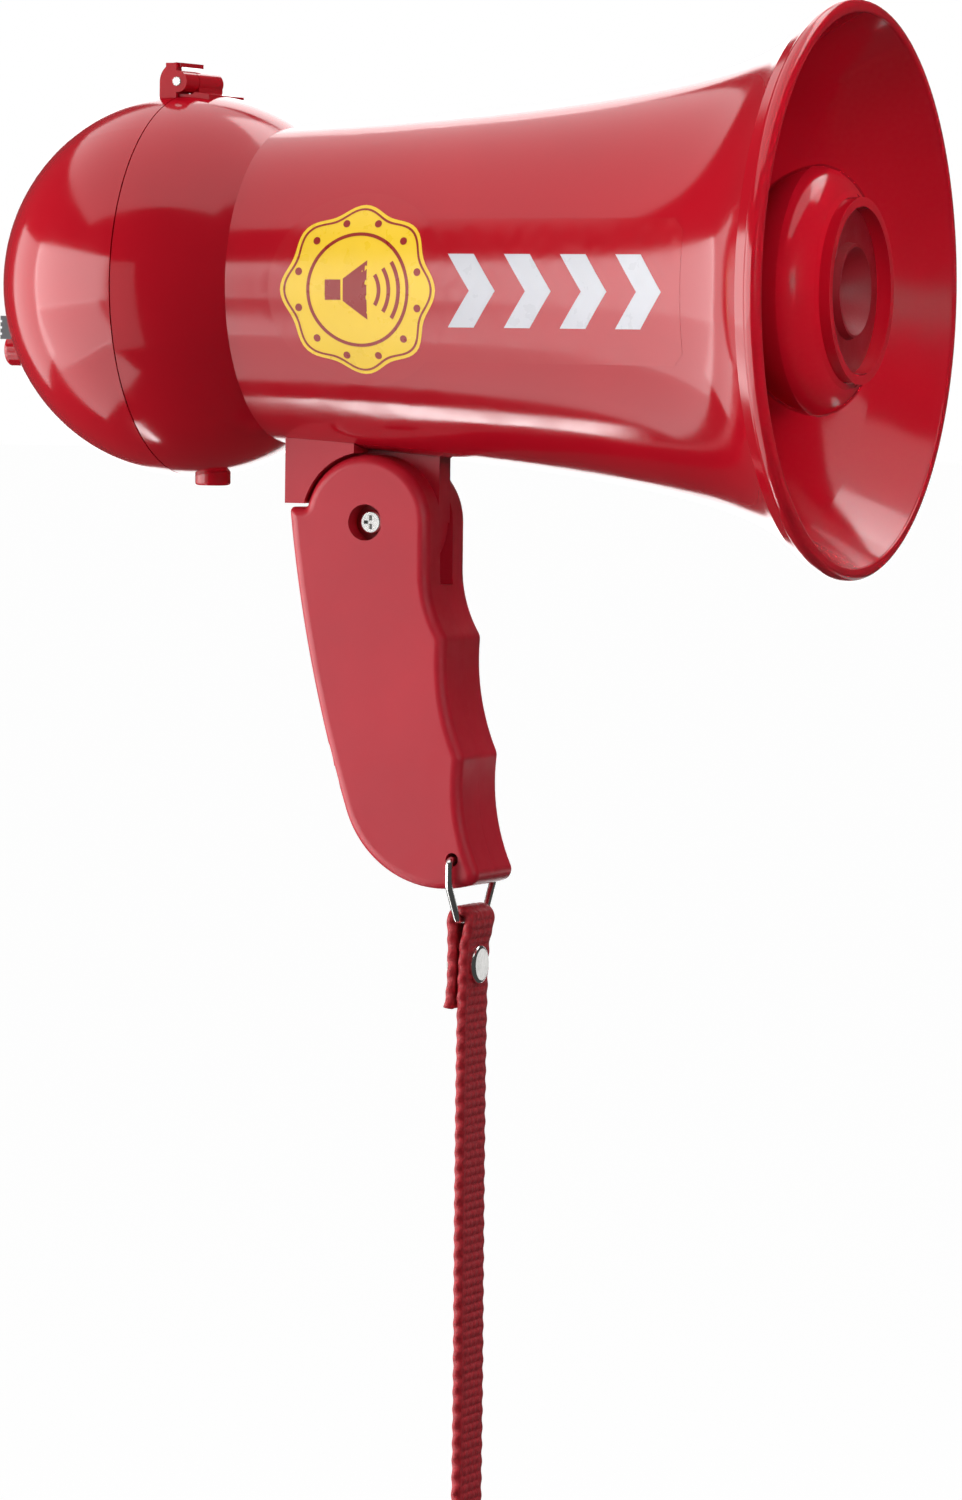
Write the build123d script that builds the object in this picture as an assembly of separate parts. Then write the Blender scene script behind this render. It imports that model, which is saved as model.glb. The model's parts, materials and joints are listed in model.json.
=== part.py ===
"""Handheld megaphone: a flared horn on a ball-shaped amplifier case, with a folding pistol grip.

The drawing frame has the horn's axis on X with the mouth plane at X = 0, and +Z up. Each
piece is moved to the part's own frame as it is written: origin at the middle of the grip.
"""
from build123d import *
from math import acos, cos, exp, pi, radians, sin, sqrt
import os

# ---------------------------------------------------------------- driving dimensions (mm)
mouth_radius = 62.5         # outside of the rim bead
horn_length = 134.6
horn_wall = 1.8
flare_long = 23.2           # rise and decay length of the gentle taper
flare_long_decay = 71.8
flare_overshoot = 5.54      # how far the bell's curve would pass the rim at the mouth plane
flare_short_decay = 10.2
rim_bead = 1.6              # radius of the rolled edge
rim_ease = 14.8             # inside runs straight to the rim over this length
ball_radius = 42.6
neck_share = 0.8216         # radius where the horn meets the ball, over the ball's radius
ball_wall = 2.0
seam_gap = 0.3

spigot_length = 4.5         # neck of the ball inside the back of the horn
baffle_thick = 2.4

hinge_rise = 2.4            # hinge axis above the ball's surface
hinge_pin_radius = 1.0
knuckle_radius = 2.45
hinge_near = -10.0          # Y of the hinge's two ends
hinge_far = 9.0
ear_plate = 2.8
ear_radius_cover = 4.2
knuckle_split = -3.25       # Y of the plane between the two knuckles

latch_radius = 4.0
latch_stand_out = 2.4
latch_travel = 1.5
latch_inset = 5.2           # latch centre in front of the seam

button_radius = 3.75
button_stand_out = 6.2
button_drop = 14.9          # button centre below the ball's centre
button_travel = 1.8
switch_side = -13.0         # slide switch centre, Y and Z
switch_height = -10.0
switch_travel = 3.0
microphone_height = 5.0
capsule_radius = 4.85
capsule_length = 6.7

board_thick = 1.6
board_edge_gap = 5.2        # board's rim clear of the ball's inside
magnet_radius = 15.5
magnet_thick = 6.5

cell_radius = 5.25
cell_length = 44.5
cell_gap = 0.4
tray_thick = 1.6

tube_radius = 13.0
tube_wall = 1.5
cup_radius = 27.2
cup_wall = 1.6
cup_depth = 24.0            # back of the cup behind the mouth plane
collar_radius = 20.1
collar_wall = 2.0
port_radius = 9.5

pivot_forward = 23.2        # handle pivot in front of the horn's small end
pivot_gap = 0.6             # ear clear of the horn's underside
ear_radius = 14.9
bracket_gap = 0.6           # bracket block clear of the ears
block_drop = 3.9            # block's lower face above the pivot
web_thick = 6.0
web_radius = 13.9
slot_clearance = 0.35
shoulder_rise = 3.1         # grip's rear shoulder above the pivot
grip_half = 11.0
grip_edge = 2.3
grip_wall = 2.3
shell_gap = 0.06
sleeve_radius = 3.0
running_clearance = 0.05
screw_radius = 1.5
screw_head_radius = 2.7
screw_head_thick = 1.8
screw_pocket_radius = 4.0
screw_head_sink = 3.0
nut_flats = 5.5
nut_thick = 2.4

ring_hole_radius = 1.5
ring_wire = 0.8
ring_drop = 13.6            # lower bar below the hole
strap_width = 13.0
strap_thick = 2.3
rivet_radius = 4.3

# ---------------------------------------------------------------- places that follow
neck_radius = neck_share * ball_radius
ball_x = -(horn_length + sqrt(ball_radius**2 - neck_radius**2))
ball_inner = ball_radius - ball_wall
seam_x = ball_x
hinge_x = seam_x
hinge_z = ball_radius + hinge_rise
neck_x = -horn_length
baffle_x = neck_x - baffle_thick
pivot_x = neck_x + pivot_forward
flare_base = neck_radius - flare_long * exp(-horn_length / flare_long_decay)
flare_short = mouth_radius + flare_overshoot - flare_base - flare_long


def horn_radius(x):
    """Outside radius of the horn at x, from the neck to the start of the rim."""
    gentle = flare_long * exp(x / flare_long_decay)
    bell = flare_short * exp(x / flare_short_decay)
    return flare_base + gentle + bell


pivot_z = -(horn_radius(pivot_x) + ear_radius + pivot_gap)
baffle_hole = 0.6 * neck_radius
speaker_radius = neck_radius - 5.0
cone_radius = 0.75 * speaker_radius
basket_depth = 0.28 * ball_radius
board_set_back = 0.628 * ball_inner     # front face of the board behind the ball's centre
board_radius = sqrt(ball_inner**2 - (board_set_back + board_thick)**2) - board_edge_gap
tray_post_radius = ball_inner - 4.2
latch_flange_top = -(ball_inner - 3.7)
latch_roof = latch_flange_top + latch_travel + 4.0      # shelf that the latch spring pushes on
grip_middle = (pivot_x + 5.4, 0, pivot_z - 40)
to_part = Location((-grip_middle[0], -grip_middle[1], -grip_middle[2]))
ring_hole_x = pivot_x + 21.9
ring_hole_z = pivot_z - 73.5
bar_x = ring_hole_x
bar_z = ring_hole_z - ring_drop


# ---------------------------------------------------------------- shape helpers
def sphere_depth(radius, *offsets):
    """Distance along X from the ball's centre to a sphere of this radius, off its axis."""
    return sqrt(radius**2 - sum(value**2 for value in offsets))


def turned(*edges):
    """Solid of revolution about the X axis, from edges in the XZ plane above it."""
    return revolve(make_face(Wire(list(edges))), Axis.X, 360)


def chain(*points):
    """Straight edges through points given as (x, radius)."""
    vectors = [Vector(x, 0, r) for x, r in points]
    return [Edge.make_line(a, b) for a, b in zip(vectors, vectors[1:])]


def turned_ring(x0, x1, inner, outer):
    return turned(*chain((x0, inner), (x1, inner), (x1, outer), (x0, outer), (x0, inner)))


def rod(start, end, radius):
    """Cylinder between two points."""
    a, b = Vector(*start), Vector(*end)
    plane = Plane(origin=a, z_dir=b - a)
    return extrude(plane * Circle(radius), amount=(b - a).length)


def block(x0, x1, y0, y1, z0, z1):
    middle = Location(((x0 + x1) / 2, (y0 + y1) / 2, (z0 + z1) / 2))
    return middle * Box(abs(x1 - x0), abs(y1 - y0), abs(z1 - z0))


def ball(radius):
    return Location((ball_x, 0, 0)) * Sphere(radius)


def polar(count, radius, start=0.0):
    """Y, Z places on a circle about the horn's axis."""
    angles = [radians(start + 360 * i / count) for i in range(count)]
    return [(radius * cos(a), radius * sin(a)) for a in angles]


def across(face, y0, y1):
    """Face in the XZ plane, extruded from y0 to y1."""
    return Location((0, y0, 0)) * extrude(face, amount=y1 - y0, dir=(0, 1, 0))


def line_xz(a, b):
    return Edge.make_line(Vector(a[0], 0, a[1]), Vector(b[0], 0, b[1]))


def arc_xz(a, middle, b):
    return Edge.make_three_point_arc(*(Vector(p[0], 0, p[1]) for p in (a, middle, b)))


def spring(start, axis, radius, wire, length, turns):
    """Open coil spring from start along axis."""
    plane = Plane(origin=Vector(*start), z_dir=Vector(*axis))
    path = plane.location * Helix(pitch=length / turns, height=length, radius=radius)
    section = Plane(origin=path @ 0, z_dir=path % 0) * Circle(wire)
    return sweep(section, path=path)


def fused(*shapes):
    whole = shapes[0]
    for shape in shapes[1:]:
        whole = whole + shape
    return whole


# ---------------------------------------------------------------- horn and reflector
rim_start = -6.0
rim_centre = mouth_radius - rim_bead
lip_round = 0.6             # small radius on the rim's inner edge


def horn_profile(offset, back, front, steps=9):
    """Spline edge that follows the horn at a distance inside its outer surface."""
    places = [back + (front - back) * (i / steps) ** 0.75 for i in range(steps + 1)]
    return Edge.make_spline([Vector(x, 0, horn_radius(x) - offset) for x in places])


def horn_solid(offset=0.0):
    """The space inside the horn's outer surface, used to trim what fits against it."""
    edge = horn_profile(offset, neck_x, rim_start)
    low, high = edge @ 0, edge @ 1
    return turned(edge, *chain((high.X, high.Z), (high.X, 0), (low.X, 0), (low.X, low.Z)))


def bell_inside():
    """Inner surface: parallel to the outside, then straight to the rim along its own slope."""
    curve = horn_profile(horn_wall, neck_x, -rim_ease)
    end, slope = curve @ 1, curve % 1
    run = (-lip_round - end.X) / slope.X
    return curve, Edge.make_line(end, end + slope * run)


def horn_bell():
    """Thin flared shell whose rim is rolled outward, with a narrow flat land in front."""
    outer = horn_profile(0, neck_x, rim_start)
    inner, inner_flare = bell_inside()
    lip = inner_flare @ 1
    inner_start, outer_start, outer_end = inner @ 0, outer @ 0, outer @ 1
    crease = Vector(-2.2 * rim_bead, 0, mouth_radius - 0.53 * rim_bead)
    crown = Vector(-rim_bead, 0, mouth_radius)
    crown_front = Vector(0, 0, rim_centre)
    land_end = Vector(0, 0, lip.Z + lip_round)
    return turned(
        outer, Edge.make_line(outer_end, crease),
        Edge.make_tangent_arc(crown, Vector(-1, 0, 0), crease),
        Edge.make_tangent_arc(crown, Vector(1, 0, 0), crown_front),
        Edge.make_line(crown_front, land_end),
        Edge.make_tangent_arc(land_end, Vector(0, 0, -1), lip),
        inner_flare, inner, Edge.make_line(inner_start, outer_start))


def sound_tube():
    """Tube from the loudspeaker to the reflector, with a funnel over the baffle's hole."""
    throat = 12.0
    back = neck_x
    front = -cup_depth
    bore = tube_radius - tube_wall
    funnel = turned(*chain(
        (back, baffle_hole + 5), (back + 2.0, baffle_hole + 5), (back + 2.0, baffle_hole + 1.5),
        (back + throat + 2, tube_radius), (front, tube_radius), (front, bore),
        (back + throat, bore), (back, baffle_hole), (back, baffle_hole + 5)))
    for y, z in polar(3, baffle_hole + 3.2, 90):
        funnel -= rod((back - 1, y, z), (back + 3, y, z), 0.9)
    return funnel


def tube_screws():
    screws = []
    for y, z in polar(3, baffle_hole + 3.2, 90):
        head = rod((neck_x + 2.0, y, z), (neck_x + 3.4, y, z), 1.6)
        screws.append(head + rod((neck_x - 1.8, y, z), (neck_x + 2.0, y, z), 0.9))
    return Compound(children=screws)


def reflector_cup():
    """Domed cup in the mouth, with a raised collar round its front."""
    back = -cup_depth
    widest = -9.5
    collar_foot = -3.0
    outer = [
        *chain((back, tube_radius + 0.05), (back, tube_radius + 2.5)),
        arc_xz((back, tube_radius + 2.5), (-18.5, 23.6), (widest, cup_radius)),
        arc_xz((widest, cup_radius), (-5.2, 25.2), (collar_foot, collar_radius + 1.2)),
        *chain((collar_foot, collar_radius + 1.2), (collar_foot + 0.6, collar_radius),
               (0, collar_radius), (0, collar_radius - collar_wall),
               (-4.4, collar_radius - collar_wall), (-4.4, collar_radius - collar_wall - 2)),
        arc_xz((-4.4, collar_radius - collar_wall - 2), (-7.0, 20.5),
               (widest, cup_radius - cup_wall)),
        arc_xz((widest, cup_radius - cup_wall), (-17.6, 22.2), (back + cup_wall, tube_radius + 2)),
        *chain((back + cup_wall, tube_radius + 2), (back + cup_wall, tube_radius + 0.05),
               (back, tube_radius + 0.05)),
    ]
    return turned(*outer)


def reflector_disc():
    """Recessed disc inside the collar, with the cone-shaped sound port at its middle."""
    edge = collar_radius - collar_wall - 0.05
    return turned(*chain(
        (-4.4, edge), (-3.2, edge), (-3.2, port_radius + 1.0), (-1.4, port_radius + 0.6),
        (-1.4, port_radius), (-9.0, tube_radius - tube_wall - 6.5), (-12.0, tube_radius - 8.0),
        (-12.0, tube_radius - 6.5), (-6.0, port_radius + 1.5), (-4.4, port_radius + 3), (-4.4, edge)))


def sleeve_join():
    """Short collar that joins the tube to the back of the cup."""
    return turned_ring(-cup_depth - 6, -cup_depth, tube_radius + 0.05, tube_radius + 2.0)


# ---------------------------------------------------------------- ball: front half
seam_turn = 37              # turns the surfaces' own start line away from the fittings


def half_shell(front):
    """Half of the ball's shell, in front of the seam up to the horn, or behind the seam."""
    edge = seam_x + (seam_gap / 2 if front else -seam_gap / 2)
    far = neck_x if front else ball_x - ball_radius
    far_inner = neck_x if front else ball_x - ball_inner

    def rim(radius, x):
        return (x, sqrt(max(radius**2 - (x - ball_x)**2, 0)))

    def middle(radius, x):
        start, end = acos((edge - ball_x) / radius), acos(max((x - ball_x) / radius, -1))
        angle = (start + end) / 2
        return (ball_x + radius * cos(angle), radius * sin(angle))

    outer, outer_end = rim(ball_radius, edge), rim(ball_radius, far)
    inner, inner_end = rim(ball_inner, edge), rim(ball_inner, far_inner)
    shell = turned(
        arc_xz(outer, middle(ball_radius, far), outer_end), line_xz(outer_end, inner_end),
        arc_xz(inner_end, middle(ball_inner, far_inner), inner), line_xz(inner, outer))
    return Rotation(seam_turn, 0, 0) * shell


def latch_centre():
    return (seam_x + latch_inset, 0)


def latch_mouth():
    """Z of the ball's surface at the latch."""
    return -sphere_depth(ball_radius, latch_inset)


def latch_pocket():
    x, _ = latch_centre()
    half = latch_radius + 2.4
    shelf = block(x - 3.4, x + half, -half, half, latch_roof, latch_roof + 1.6)
    cheeks = [block(x - 3.4, x + half, side * half - 0.8, side * half + 0.8, -ball_radius, latch_roof + 1.6)
              for side in (-1, 1)]
    return fused(shelf, *cheeks) & ball(ball_inner + 0.6)


def front_knuckle():
    """Barrel on a saddle at the top of the front half."""
    barrel = rod((hinge_x, knuckle_split + 0.15, hinge_z), (hinge_x, hinge_far, hinge_z), knuckle_radius)
    front = seam_x + seam_gap / 2
    saddle = block(front, hinge_x + 2.2, knuckle_split + 0.15, hinge_far, ball_radius - 3.4, hinge_z)
    ramp = across(make_face(Wire([
        line_xz((front, ball_radius - 3.0), (hinge_x + 7.5, ball_radius - 3.0)),
        line_xz((hinge_x + 7.5, ball_radius - 3.0), (hinge_x + 7.5, ball_radius - 0.5)),
        line_xz((hinge_x + 7.5, ball_radius - 0.5), (front, ball_radius + 0.7)),
        line_xz((front, ball_radius + 0.7), (front, ball_radius - 3.0))])),
        hinge_near + 1.0, hinge_far)
    return fused(barrel, saddle, ramp) - ball(ball_inner + 0.5)


def tray_places(radius):
    """Y, Z of the battery tray's four fixings, clear of the hinge and the latch."""
    return [*polar(2, radius, 30), *polar(2, radius, 150)]


def tray_posts():
    """Posts inside the front half that carry the battery tray."""
    front = ball_x + 16
    posts = [rod((seam_x - 0.3, y, z), (front, y, z), 2.6) for y, z in tray_places(tray_post_radius)]
    return fused(*posts) & ball(ball_inner + 0.6)


def front_housing():
    shell = half_shell(True)
    spigot_radius = neck_radius - horn_wall - 0.05
    shell += turned_ring(neck_x - 3.0, neck_x + spigot_length, spigot_radius - 2.0, spigot_radius)
    shell += turned_ring(baffle_x, neck_x, baffle_hole, spigot_radius)
    shell += front_knuckle()
    shell += latch_pocket()
    shell += tray_posts()
    x, y = latch_centre()
    shell -= rod((x, y, -ball_radius - 4), (x, y, latch_flange_top - 1.7), latch_radius + 0.3)
    shell -= rod((hinge_x, hinge_near - 1, hinge_z), (hinge_x, knuckle_split + 0.1, hinge_z),
                 ear_radius_cover + 0.3) & block(hinge_x - 9, hinge_x + 9, -20, knuckle_split + 0.1,
                                                  hinge_z - knuckle_radius - 0.35, hinge_z + 9)
    shell -= rod((hinge_x, -20, hinge_z), (hinge_x, 20, hinge_z), hinge_pin_radius)
    for y, z in polar(4, speaker_radius - 2.4, 45):
        shell -= rod((baffle_x - 1, y, z), (neck_x - 0.4, y, z), 0.9)
    for y, z in polar(3, baffle_hole + 3.2, 90):
        shell -= rod((baffle_x - 1, y, z), (neck_x + 1, y, z), 0.9)
    for y, z in tray_places(tray_post_radius - 1.2):
        shell -= rod((seam_x - 1, y, z), (seam_x + 6, y, z), 0.9)
    return shell


def hinge_pin():
    """Steel pin with a splined end."""
    pin = rod((hinge_x, hinge_near - 0.2, hinge_z), (hinge_x, hinge_far - 0.4, hinge_z), hinge_pin_radius)
    for index in range(10):
        angle = radians(36 * index)
        x = hinge_x + hinge_pin_radius * cos(angle)
        z = hinge_z + hinge_pin_radius * sin(angle)
        pin -= rod((x, hinge_near - 1, z), (x, hinge_near + 0.5, z), 0.16)
    return pin


def latch_button():
    """Round press button below the ball, with a tongue that reaches back over the seam."""
    x, y = latch_centre()
    bottom = latch_mouth() - latch_stand_out
    top = latch_flange_top
    stem = rod((x, y, bottom), (x, y, top - 1.1), latch_radius)
    stem = fillet(stem.edges().sort_by(Axis.Z)[0], 0.7)
    flange = block(x - 4.6, x + 4.6, -5.0, 5.0, top - 1.5, top)
    flange &= ball(ball_inner - 0.5)
    tongue_end = seam_x - 2.6
    tongue = block(tongue_end, x, -2.5, 2.5, top - 1.5, top)
    hook = [(tongue_end, top), (tongue_end, top - 2.4), (tongue_end + 1.4, top - 1.5), (tongue_end + 1.4, top)]
    nose = across(make_face(Wire([line_xz(a, b) for a, b in zip(hook, hook[1:] + hook[:1])])), -2.5, 2.5)
    return fused(stem, flange, tongue, nose)


def latch_spring():
    x, y = latch_centre()
    start = latch_flange_top + 0.35
    return spring((x, y, start), (0, 0, 1), 2.6, 0.3, latch_roof - 0.35 - start, 4)


# ---------------------------------------------------------------- ball: rear half
recess_floor = 2.2          # depth of the switch recess from the ball's surface at its middle


def recess_x():
    return ball_x - sphere_depth(ball_radius, switch_side, switch_height) + recess_floor


def rear_ears():
    near = rod((hinge_x, hinge_near, hinge_z), (hinge_x, hinge_near + ear_plate, hinge_z), ear_radius_cover)
    near &= block(hinge_x - 9, hinge_x - seam_gap / 2, hinge_near - 1, hinge_near + ear_plate + 1,
                  hinge_z - 9, hinge_z + 9)
    foot = block(hinge_x - ear_radius_cover, hinge_x - seam_gap / 2, hinge_near, hinge_near + ear_plate,
                 ball_radius - 4.0, hinge_z)
    barrel = rod((hinge_x, hinge_near, hinge_z), (hinge_x, knuckle_split - 0.15, hinge_z), knuckle_radius)
    barrel_foot = block(hinge_x - knuckle_radius, hinge_x - seam_gap / 2, hinge_near, knuckle_split - 0.15,
                        ball_radius - 3.0, hinge_z)
    tab = block(hinge_x - 3.2, hinge_x + 0.6, hinge_near + 1.0, 2.4,
                hinge_z + ear_radius_cover - 1.0, hinge_z + ear_radius_cover - 0.05)
    whole = fused(near, foot, barrel, barrel_foot, tab)
    whole -= ball(ball_inner + 0.5)
    return whole - rod((hinge_x, -20, hinge_z), (hinge_x, 20, hinge_z), hinge_pin_radius + running_clearance)


def board_posts():
    front = ball_x - board_set_back
    posts = [rod((front - board_thick - 14, y, z), (front - board_thick, y, z), 2.4)
             for y, z in polar(3, board_radius - 3.0, 90)]
    return fused(*posts) & ball(ball_inner + 0.6)


flange_radius = button_radius + 1.5
flange_reach = 1.6          # front of the button's flange, from the guide's end


def guide_end():
    """X of the button guide's front end, level with the shell where the flange's rim passes it."""
    return ball_x - sphere_depth(ball_inner, button_drop + flange_radius)


def button_guide():
    end = guide_end()
    tube = rod((end, 0, -button_drop), (end - 8, 0, -button_drop), button_radius + 1.9)
    return tube & ball(ball_inner + 0.6)


def microphone_holder():
    """Short tube whose back end lies inside the shell's wall."""
    back = ball_x - ball_inner - 0.1
    front = back + 7.2
    outer = rod((front, 0, microphone_height), (back, 0, microphone_height), capsule_radius + 2.35)
    return outer - rod((front + 1, 0, microphone_height), (back - 1, 0, microphone_height),
                       capsule_radius + 1.55)


def switch_recess():
    x = recess_x()
    return block(x, x - 20, switch_side - 3.6, switch_side + 3.6, switch_height - 6.8, switch_height + 4.0)


def rear_dome():
    dome = half_shell(False)
    x = recess_x()
    pad = block(x, x + 2.0, switch_side - 5.2, switch_side + 5.2, switch_height - 8.4, switch_height + 5.6)
    pad &= ball(ball_radius - 0.4)
    dome += pad
    dome += rear_ears()
    dome += board_posts()
    dome += button_guide()
    dome += microphone_holder()
    catch = block(seam_x - 4.6, seam_x - 3.0, -5.0, 5.0, -ball_radius, latch_flange_top + 1.5) & ball(ball_inner + 0.6)
    dome += catch
    dome -= switch_recess()
    dome -= block(x - 1, x + 6, switch_side - 1.3, switch_side + 1.3,
                  switch_height - 1.3 - switch_travel, switch_height + 1.3)
    dome -= rod((ball_x - 60, 0, -button_drop), (ball_x, 0, -button_drop), button_radius + 0.3)
    for y, z in [(0, 0)] + polar(6, 2.7, 30):
        dome -= rod((ball_x - 60, y, microphone_height + z), (ball_x - 20, y, microphone_height + z), 0.75)
    dome -= rod((hinge_x, knuckle_split, hinge_z), (hinge_x, hinge_far + 0.4, hinge_z), knuckle_radius + 0.35)
    for y, z in polar(3, board_radius - 3.0, 90):
        dome -= rod((ball_x - board_set_back - board_thick - 6, y, z), (ball_x - board_set_back, y, z), 0.9)
    return dome


def circuit_board():
    front = ball_x - board_set_back
    board = rod((front - board_thick, 0, 0), (front, 0, 0), board_radius)
    board -= block(front - 5, front + 5, -30, 30, -40, -board_radius + 3.5)
    for y, z in polar(3, board_radius - 3.0, 90):
        board -= rod((front - 5, y, z), (front + 1, y, z), 1.1)
    return board


def board_screws():
    front = ball_x - board_set_back
    screws = []
    for y, z in polar(3, board_radius - 3.0, 90):
        head = rod((front, y, z), (front + 1.3, y, z), 1.9)
        screws.append(head + rod((front - board_thick - 4, y, z), (front, y, z), 0.9))
    return Compound(children=screws)


def board_parts():
    """Amplifier chip, smoothing capacitor and small parts on the front of the board."""
    front = ball_x - board_set_back
    chip = block(front, front + 1.6, -9, -4, -3, 7)
    capacitor = rod((front, 8, 4), (front + 7.5, 8, 4), 4.0)
    capacitor = fillet(capacitor.edges().sort_by(Axis.X)[-1], 0.5)
    small = [block(front, front + 0.6, y, y + 1.6, -12, -11.2) for y in (-6, -3, 0, 3, 6)]
    return Compound(children=[chip, capacitor, *small])


def switch_back():
    """X of the board's rear face."""
    return ball_x - board_set_back - board_thick


tact_half = 3.0
tact_body = 3.4
tact_plunger = 1.2


def tact_switch():
    back = switch_back()
    body = block(back - tact_body, back, -tact_half, tact_half, -button_drop - tact_half, -button_drop + tact_half)
    return body + rod((back - tact_body - tact_plunger, 0, -button_drop), (back - 1, 0, -button_drop), 1.7)


def siren_button():
    """Round push button, with a flange inside its guide and a stem over the tact switch."""
    face = ball_x - sphere_depth(ball_radius, button_drop) - button_stand_out
    back = guide_end()
    front = back + flange_reach
    cap = rod((face, 0, -button_drop), (front, 0, -button_drop), button_radius)
    cap = fillet(cap.edges().sort_by(Axis.X)[0], 1.2)
    flange = rod((back + 0.3, 0, -button_drop), (front, 0, -button_drop), flange_radius)
    stem_end = switch_back() - tact_body - tact_plunger - button_travel - 0.3
    stem = rod((back, 0, -button_drop), (stem_end, 0, -button_drop), 1.6)
    return fused(cap, flange, stem)


def button_spring():
    start = guide_end() + flange_reach + 0.35
    return spring((start, 0, -button_drop), (1, 0, 0), 4.75, 0.25, switch_back() - start - 0.3, 4)


def slide_switch_body():
    back = switch_back()
    case = block(back - 4.2, back, switch_side - 2.8, switch_side + 2.8,
                 switch_height - switch_travel / 2 - 6, switch_height - switch_travel / 2 + 6)
    window = block(back - 5, back - 1.6, switch_side - 1.1, switch_side + 1.1,
                   switch_height - switch_travel - 1.4, switch_height + 1.4)
    return case - window


def switch_lever():
    """Grey finger piece in the recess, with a shank down to the switch."""
    x = recess_x()
    finger = block(x - 3.4, x - 0.3, switch_side - 2.6, switch_side + 2.6,
                   switch_height - 2.6, switch_height + 2.6)
    for z in (-1.4, 0, 1.4):
        finger -= block(x - 4, x - 3.0, switch_side - 3, switch_side + 3,
                        switch_height + z - 0.25, switch_height + z + 0.25)
    shank = block(x - 1, switch_back() - 2.2, switch_side - 0.9, switch_side + 0.9,
                  switch_height - 0.9, switch_height + 0.9)
    return finger + shank


def microphone_capsule():
    back = ball_x - sphere_depth(ball_inner, microphone_height) + 1.6
    return rod((back, 0, microphone_height), (back + capsule_length, 0, microphone_height), capsule_radius)


def microphone_boot():
    back = ball_x - sphere_depth(ball_inner, microphone_height) + 1.8
    tip = sphere_depth(ball_inner, microphone_height + capsule_radius + 1.5)
    start = max(back, ball_x - tip + 0.05)
    outer = rod((start, 0, microphone_height), (back + 6, 0, microphone_height), capsule_radius + 1.5)
    return outer - rod((back - 3, 0, microphone_height), (back + 9, 0, microphone_height),
                       capsule_radius + 0.02)


# ---------------------------------------------------------------- loudspeaker and batteries
gasket_thick = 1.0
speaker_x = baffle_x - gasket_thick     # front face of the loudspeaker


def speaker_gasket():
    return turned_ring(speaker_x, baffle_x, baffle_hole + 2, speaker_radius - 3.8)


def speaker_frame():
    back = speaker_x - basket_depth
    frame = turned(*chain(
        (speaker_x, speaker_radius), (speaker_x - 1.2, speaker_radius),
        (speaker_x - 1.2, cone_radius + 3), (back, magnet_radius - 1), (back, 6.5),
        (back + 1.2, 6.5), (back + 1.2, magnet_radius - 1.8), (speaker_x, cone_radius + 1.6),
        (speaker_x, speaker_radius)))
    for y, z in polar(4, speaker_radius - 2.4, 45):
        frame -= rod((speaker_x - 3, y, z), (speaker_x + 1, y, z), 1.1)
    return frame


def speaker_magnet():
    back = speaker_x - basket_depth
    plate = turned_ring(back - 1.2, back, 5.5, magnet_radius - 2)
    body = turned_ring(back - magnet_thick + 0.9, back - 1.2, 7.0, magnet_radius)
    yoke = rod((back - magnet_thick, 0, 0), (back - magnet_thick + 0.9, 0, 0), magnet_radius - 1)
    pole = rod((back - magnet_thick, 0, 0), (back + 1.0, 0, 0), 4.6)
    return fused(plate, body, yoke, pole)


def speaker_cone():
    back = speaker_x - basket_depth
    return turned(*chain(
        (speaker_x - 0.1, cone_radius + 0.6), (speaker_x - 0.5, cone_radius + 0.6),
        (speaker_x - 0.9, cone_radius - 1), (back + 4.0, 6.2), (back + 1.6, 6.2), (back + 1.6, 5.6),
        (back + 4.6, 5.6), (speaker_x - 0.4, cone_radius - 1), (speaker_x - 0.1, cone_radius + 0.6)))


def dust_cap():
    """Thin shallow cap over the middle of the cone."""
    base = speaker_x - basket_depth + 5.2
    skin = 0.5
    shape = [(0, 6.6), (1.2, 5.2), (1.9, 3.0), (2.2, 0)]
    outside = [(base + skin + rise, radius) for rise, radius in shape]
    inside = [(base + rise, radius) for rise, radius in reversed(shape)]
    return turned(*chain(*outside, *inside, outside[0]))


def speaker_screws():
    screws = []
    back = speaker_x - 1.2
    for y, z in polar(4, speaker_radius - 2.4, 45):
        head = rod((back - 1.4, y, z), (back, y, z), 2.0)
        screws.append(head + rod((back, y, z), (neck_x - 0.6, y, z), 0.9))
    return Compound(children=screws)


cell_pitch = 2 * cell_radius + cell_gap
tray_x = seam_x - 0.4       # front face of the tray


def battery_tray():
    back = tray_x - tray_thick
    depth = 2 * cell_radius + 0.5
    half_z = cell_length / 2 + 3.2
    plate = rod((back, 0, 0), (tray_x, 0, 0), tray_post_radius + 2.2)
    plate &= block(back - 1, tray_x + 1, -50, 50, -half_z - 2.4, half_z + 2.4)
    ends = [block(back - depth, back + 0.5, -1.5 * cell_pitch, 1.5 * cell_pitch, side * half_z - 0.7,
                  side * half_z + 0.7) for side in (-1, 1)]
    ribs = [block(back - 3.0, back + 0.5, y - 0.15, y + 0.15, -half_z, half_z)
            for y in (-cell_pitch / 2, cell_pitch / 2)]
    sides = [block(back - 6.0, back + 0.5, side * (1.5 * cell_pitch + 0.7) - 0.7,
                   side * (1.5 * cell_pitch + 0.7) + 0.7, -half_z - 0.7, half_z + 0.7) for side in (-1, 1)]
    tray = fused(plate, *ends, *ribs, *sides)
    for y, z in tray_places(tray_post_radius - 1.2):
        tray -= rod((back - 1, y, z), (tray_x + 1, y, z), 1.1)
    return tray


def cell_axis_x():
    return tray_x - tray_thick - cell_radius - 0.15


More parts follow.
